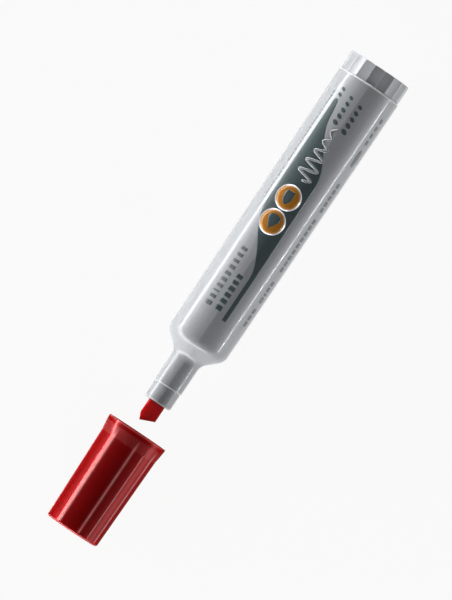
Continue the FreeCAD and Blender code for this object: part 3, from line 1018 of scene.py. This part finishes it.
lower_edge = centre_line + (lower_edge - centre_line) * tail
print_piece("panel_print", [band(stations, lower_edge, upper_edge)], slate_ink)

# %% [markdown]
# ## Words without letters
#
# The label's words are greeked: rows of plain blocks stand where words would be, and no block has
# the shape of a letter. A loop lays the blocks of a word side by side, so only the start, the height
# and the widths of the blocks are written down.

# %% Print the greeked words
def greek_word(start, around, height, widths, gap):
    """Blocks from a start station on: each has its own width, with the same gap between them."""
    blocks = []
    station = start
    for width in widths:
        blocks.append(bar(station + width / 2, around, width, height, 6.0, turns=32, rings=3))
        station += width + gap
    return blocks


WORD_START = 28.4
SIDE_AROUND = 9.45
SMALL_AROUND = -7.65
title = greek_word(WORD_START, -3.55, 1.9, [1.3, 1.0, 0.5, 1.0, 1.0, 1.0, 1.1, 1.0, 1.0, 1.0], 0.85)
print_piece("title_print", title, grey_ink)
subtitle = greek_word(WORD_START, -0.40, 2.0, [1.6, 1.3, 1.2, 1.3, 1.1, 1.2], 0.65)
print_piece("subtitle_print", subtitle, slate_ink)
side_words = greek_word(28.8, SIDE_AROUND, 1.5, [1.5] * 3, 0.45)
side_words += greek_word(36.0, SIDE_AROUND, 1.5, [1.8, 0.7, 1.4, 1.3], 0.45)
side_words += greek_word(45.6, SIDE_AROUND, 1.5, [1.4] * 9, 0.45)
side_words += greek_word(64.0, SIDE_AROUND, 1.5, [1.4] * 5, 0.45)
side_words += [bar(80.6, 9.35, 5.0, 1.7, 3.0)] + greek_word(84.8, 9.3, 1.3, [1.3] * 4, 0.9)
print_piece("side_print", side_words, grey_ink)
small_words = greek_word(59.2, SMALL_AROUND, 0.7, [0.7] * 9, 0.40)
small_words += greek_word(70.5, SMALL_AROUND, 0.7, [0.7] * 20, 0.40)
print_piece("small_print", small_words, pale_ink)

# %% [markdown]
# ## The badge
#
# Two amber discs carry little signs, a drop of ink and a chisel nib, which tell what the marker does
# without a word. A drop is a round shape whose half width shrinks to nothing at its tip: on a grid,
# half width = r sin(t) sin(t / 2)^2, with t from 0 at the tip to pi at the round end.

# %% Print the badge
BADGE_AROUND = -1.35
BADGE_STATIONS = (55.2, 62.6)
BADGE_DIAMETER = 6.4
BADGE_RING = 0.7


def drop_sign(station, around, length):
    """An ink drop that points towards the nib, as a band between its two sides."""
    turn = np.linspace(0.02, math.pi - 0.02, 40)
    along_drop = station - length / 2 * np.cos(turn)
    half = length * 0.60 * np.sin(turn) * np.sin(turn / 2) ** 2
    return band(along_drop, around - half, around + half, 10)


def nib_sign(station, around, length):
    """A chisel nib: a block that narrows to a slanted edge."""
    along_nib = np.linspace(station - length / 2, station + length / 2, 24)
    opened = smooth_step(along_nib, station - length * 0.75, station - length * 0.05)
    return band(along_nib, around - length * 0.36 * opened, around + length * 0.30 * opened, 8)


discs = [disc(station, BADGE_AROUND, BADGE_DIAMETER) for station in BADGE_STATIONS]
rings = [disc(station, BADGE_AROUND, BADGE_DIAMETER + BADGE_RING) for station in BADGE_STATIONS]
signs = [drop_sign(BADGE_STATIONS[0], BADGE_AROUND, 4.4), nib_sign(BADGE_STATIONS[1], BADGE_AROUND, 3.8)]
print_piece("badge_ring_print", rings, silver_ink, INK_LIFT * 1.6)
print_piece("badge_disc_print", discs, amber_ink, INK_LIFT * 2.2)
print_piece("badge_sign_print", signs, slate_ink, INK_LIFT * 2.8)

# %% [markdown]
# ## The silver squiggle and the dots
#
# A plain wave, a sine whose height fades, decorates the panel. Behind it, rows of dots get smaller
# towards the end.

# %% Print the squiggle and the dots
squiggle_station = np.linspace(68.2, 84.0, 240)
fade = smooth_step(squiggle_station, 66.0, 70.0) * (1 - 0.75 * smooth_step(squiggle_station, 70.0, 84.0))
squiggle_around = -0.9 + 2.4 * fade * np.sin((squiggle_station - 68.2) * 2.05)
print_piece("squiggle_print", [stroke(squiggle_station, squiggle_around, 0.55)], silver_ink,
            INK_LIFT * 2.1)

DOT_ROWS = [
    (-5.3, 92.0, 2, 1.7, 1.0),
    (-2.1, 85.4, 5, 1.85, 1.2),
    (1.2, 84.5, 5, 1.87, 1.3),
]
dots = []
for around, start, count, pitch, size in DOT_ROWS:
    for index in range(count):
        shrink = 1.0 - 0.06 * index
        dots.append(disc(start + pitch * index, around, size * shrink, -0.25, size * 1.3 * shrink))
print_piece("dot_print", dots, slate_ink)

# %% [markdown]
# ## Table, lamps and world
#
# The table is plain and pale. It glows softly for camera, glossy and transmission rays, so that it
# looks white and glossy plastic mirrors it, and it still takes the marker's shadow, because the glow
# isn't whole.

# %% Lay the table
TABLE_HALF = 3.0
TABLE_GLOW = 0.93


def make_table():
    """A square sheet; glow share = 0.93 x the greatest of the three kinds of ray."""
    size = TABLE_HALF
    mesh = bpy.data.meshes.new("table")
    corners = [(-size, -size, 0.0), (size, -size, 0.0), (size, size, 0.0), (-size, size, 0.0)]
    mesh.from_pydata(corners, [], [(0, 1, 2, 3)])
    table = bpy.data.objects.new("table", mesh)
    bpy.context.scene.collection.objects.link(table)
    material, tree, shader = new_material("table_top", Roughness=0.9, Specular_IOR_Level=0.0)
    speckle = add(tree, "ShaderNodeTexNoise", Scale=60.0, Detail=4.0)
    tree.links.new(object_place(tree), speckle.inputs["Vector"])
    tint = add(tree, "ShaderNodeMix", data_type="RGBA")
    tint.inputs["A"].default_value = (0.80, 0.80, 0.80, 1.0)
    tint.inputs["B"].default_value = (0.84, 0.84, 0.84, 1.0)
    tree.links.new(speckle.outputs["Fac"], tint.inputs["Factor"])
    tree.links.new(tint.outputs["Result"], shader.inputs["Base Color"])
    glow = add(tree, "ShaderNodeEmission", Strength=1.0)
    path = add(tree, "ShaderNodeLightPath")
    mirrored = add(tree, "ShaderNodeMath", operation="MAXIMUM")
    tree.links.new(path.outputs["Is Glossy Ray"], mirrored.inputs[0])
    tree.links.new(path.outputs["Is Transmission Ray"], mirrored.inputs[1])
    seen = add(tree, "ShaderNodeMath", operation="MAXIMUM")
    tree.links.new(path.outputs["Is Camera Ray"], seen.inputs[0])
    tree.links.new(mirrored.outputs[0], seen.inputs[1])
    share = add(tree, "ShaderNodeMath", operation="MULTIPLY")
    share.inputs[1].default_value = TABLE_GLOW
    tree.links.new(seen.outputs[0], share.inputs[0])
    mix = add(tree, "ShaderNodeMixShader")
    tree.links.new(share.outputs[0], mix.inputs["Fac"])
    tree.links.new(shader.outputs["BSDF"], mix.inputs[1])
    tree.links.new(glow.outputs["Emission"], mix.inputs[2])
    tree.links.new(mix.outputs["Shader"], tree.nodes["Material Output"].inputs["Surface"])
    mesh.materials.append(material)
    return table


table = make_table()
print("table:", table.name)

# %% [markdown]
# A long narrow lamp on the +Y side draws the thin bright line that shows how glossy the plastic is.
# It is seen only in mirrors, so it doesn't brighten the side that it faces. Two lamps beyond the
# ends catch the rims and the shoulder.

# %% Hang the lamps
def hang_lamp(name, place, aim_at, width, height, power, roll=0.0, mirrored_only=False):
    """A rectangular lamp that faces a point; roll turns it about its own beam."""
    data = bpy.data.lights.new(name, "AREA")
    data.shape = "RECTANGLE"
    data.size = width
    data.size_y = height
    data.energy = power
    lamp = bpy.data.objects.new(name, data)
    beam = (Vector(aim_at) - Vector(place)).to_track_quat("-Z", "Y")
    lamp.matrix_world = (
        Matrix.Translation(place) @ beam.to_matrix().to_4x4() @ Matrix.Rotation(roll, 4, "Z")
    )
    lamp.visible_camera = False
    lamp.visible_diffuse = not mirrored_only
    bpy.context.scene.collection.objects.link(lamp)
    return lamp


hang_lamp(
    "strip_lamp", (-0.0225, 0.25, 0.0235), (-0.0225, 0, 0.0235),
    width=0.112, height=0.006, power=0.085, roll=-math.radians(20.8), mirrored_only=True,
)
hang_lamp("nib_lamp", (0.5, 0.0, 0.14), (0, 0, 0.01), width=0.70, height=0.05, power=1.4)
hang_lamp("rear_lamp", (-0.5, 0.0, 0.10), (0, 0, 0.01), width=0.5, height=0.10, power=0.5)

# %% [markdown]
# The world does most of the work. Its light depends only on the angle round the marker's axis, from
# straight up towards +Y: a bright wall stands low on the -Y side, a fainter one on the +Y side, and
# overhead it is dim, because that is what the top of the barrel mirrors.

# %% Set the world
ROOM_EDGE = 100
ROOM_STEPS = [
    (-100, 14.0), (-89, 14.0), (-83, 6.6), (-78, 2.5), (-72, 0.75), (-62, 0.26), (-50, 0.16),
    (-38, 0.10), (-20, 0.04), (0, 0.025), (40, 0.05), (60, 0.15), (75, 0.62), (82, 1.6), (100, 1.6),
]


def make_room():
    """World light: a colour ramp over the angle atan2(y, z), with a stop for each room step."""
    world = bpy.data.worlds.new("room")
    world.use_nodes = True
    bpy.context.scene.world = world
    tree = world.node_tree
    background = tree.nodes["Background"]
    coordinates = tree.nodes.new("ShaderNodeTexCoord")
    direction = tree.nodes.new("ShaderNodeSeparateXYZ")
    tree.links.new(coordinates.outputs["Generated"], direction.inputs["Vector"])
    angle = add(tree, "ShaderNodeMath", operation="ARCTAN2")
    tree.links.new(direction.outputs["Y"], angle.inputs[0])
    tree.links.new(direction.outputs["Z"], angle.inputs[1])
    side = tree.nodes.new("ShaderNodeMapRange")
    side.inputs["From Min"].default_value = math.radians(-ROOM_EDGE)
    side.inputs["From Max"].default_value = math.radians(ROOM_EDGE)
    tree.links.new(angle.outputs[0], side.inputs["Value"])
    ramp = tree.nodes.new("ShaderNodeValToRGB")
    stops = ramp.color_ramp.elements
    stops.remove(stops[1])
    for index, (degrees, level) in enumerate(ROOM_STEPS):
        stop = stops[0] if index == 0 else stops.new((degrees + ROOM_EDGE) / (2 * ROOM_EDGE))
        stop.color = (level, level, level, 1.0)
    tree.links.new(side.outputs["Result"], ramp.inputs["Fac"])
    tree.links.new(ramp.outputs["Color"], background.inputs["Color"])
    background.inputs["Strength"].default_value = 1.0
    return world


room = make_room()
print("world:", room.name, "with", len(ROOM_STEPS), "steps")
